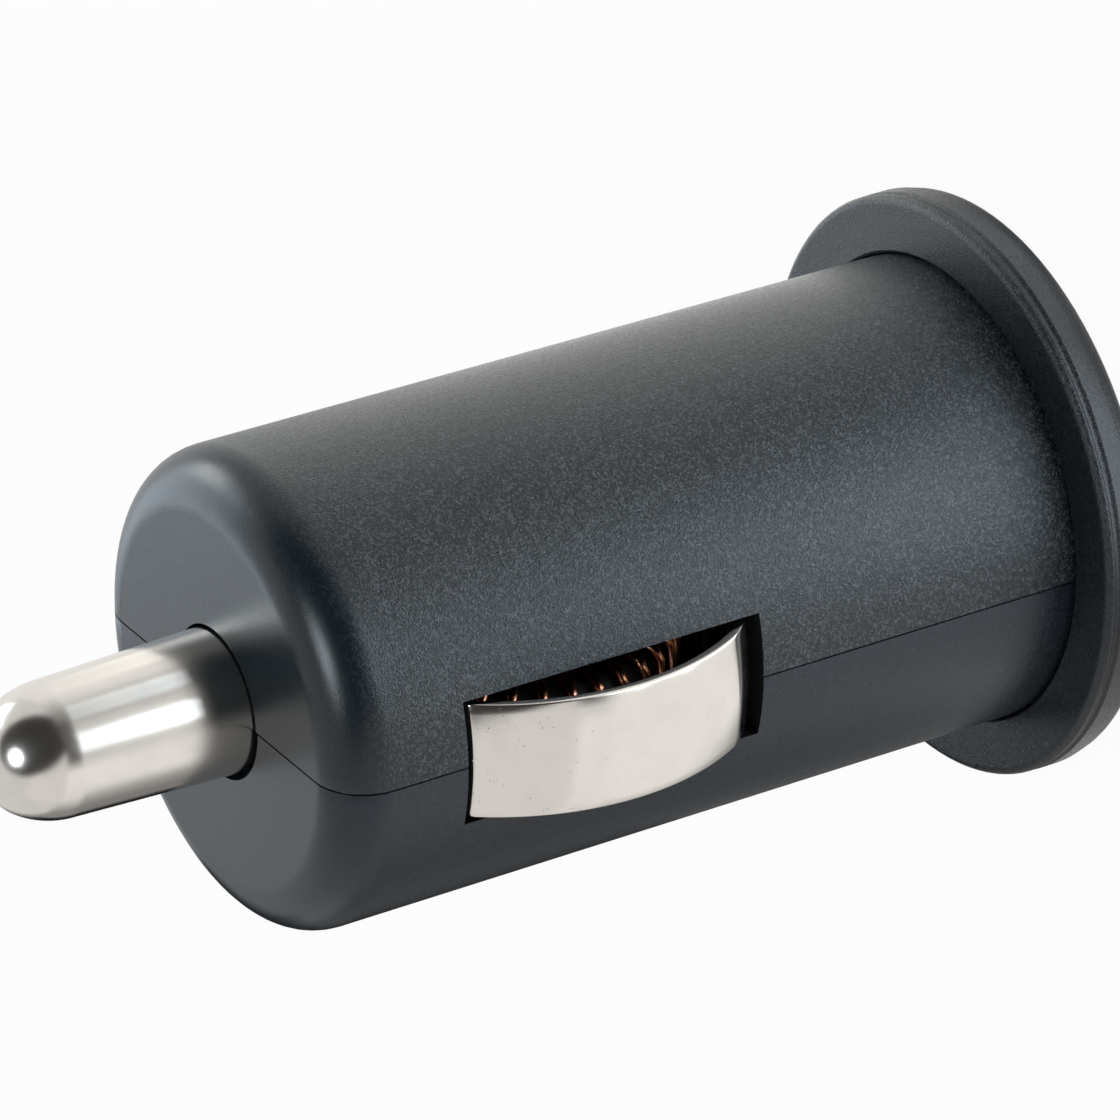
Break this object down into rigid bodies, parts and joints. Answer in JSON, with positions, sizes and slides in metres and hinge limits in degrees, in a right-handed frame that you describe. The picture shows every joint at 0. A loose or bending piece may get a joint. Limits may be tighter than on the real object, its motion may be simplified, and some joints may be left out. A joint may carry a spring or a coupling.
{
  "type": "car usb charger",
  "caption": "Short round charger that plugs into a vehicle's 12 V socket and gives power from a USB port in its rear face.",
  "frame": {"origin": "centre of the flat rear face, on the axis of the round body", "axes": "+Z runs along the body from the USB face to the tip of the centre pin; the half shells part on the plane x = 0, and the two side contacts lie on -Y and +Y"},
  "size_m": [0.026, 0.0258, 0.0489],
  "materials": {
    "shell_plastic": "fine spark-eroded texture, satin",
    "nickel": "bright nickel plating",
    "spring_steel": "drawn wire",
    "brass": "stamped sheet",
    "board": "green solder mask",
    "ferrite": "matt sintered",
    "copper": "enamelled copper wire",
    "can_sleeve": "sleeved can",
    "chip_black": "moulded",
    "chip_ceramic": "fired",
    "port_steel": "tinned sheet",
    "port_insulator": "moulded",
    "gold": "gold flash",
    "solder": "bright solder",
    "light_lens": "clear plastic"
  },
  "bodies": {
    "charger": {"main_shell": "shell_plastic", "cover_shell": "shell_plastic", "collar_cap": "shell_plastic", "face_plate": "shell_plastic", "pin_spring": "spring_steel", "spring_terminal": "brass", "contact_post_left": "brass", "contact_post_right": "brass", "circuit_board": "board", "choke_core": "ferrite", "choke_winding": "copper", "input_capacitor": "can_sleeve", "output_capacitor": "can_sleeve", "controller_chip": "chip_black", "rectifier_diode": "chip_black", "chip_fuse": "chip_ceramic", "chip_resistors": "chip_black", "chip_capacitors": "chip_ceramic", "status_led": "port_insulator", "led_lens": "light_lens", "usb_shell": "port_steel", "usb_tongue": "port_insulator", "usb_contacts": "gold", "solder_joints": "solder"},
    "pin": {"centre_pin": "nickel"},
    "left_contact": {"side_contact_left": "nickel"},
    "right_contact": {"side_contact_right": "nickel"}
  },
  "joints": [
    {"name": "pin_press", "type": "slide", "parent": "charger", "child": "pin", "axis": [0, 0, -1], "range_m": [0, 0.0022], "stiffness_N_per_m": 300, "springref_m": -0.004, "deforming": ["pin_spring"]},
    {"name": "left_contact_press", "type": "slide", "parent": "charger", "child": "left_contact", "axis": [0, 1, 0], "range_m": [0, 0.002], "stiffness_N_per_m": 120, "springref_m": -0.003},
    {"name": "right_contact_press", "type": "slide", "parent": "charger", "child": "right_contact", "axis": [0, -1, 0], "range_m": [0, 0.002], "stiffness_N_per_m": 120, "springref_m": -0.003}
  ]
}
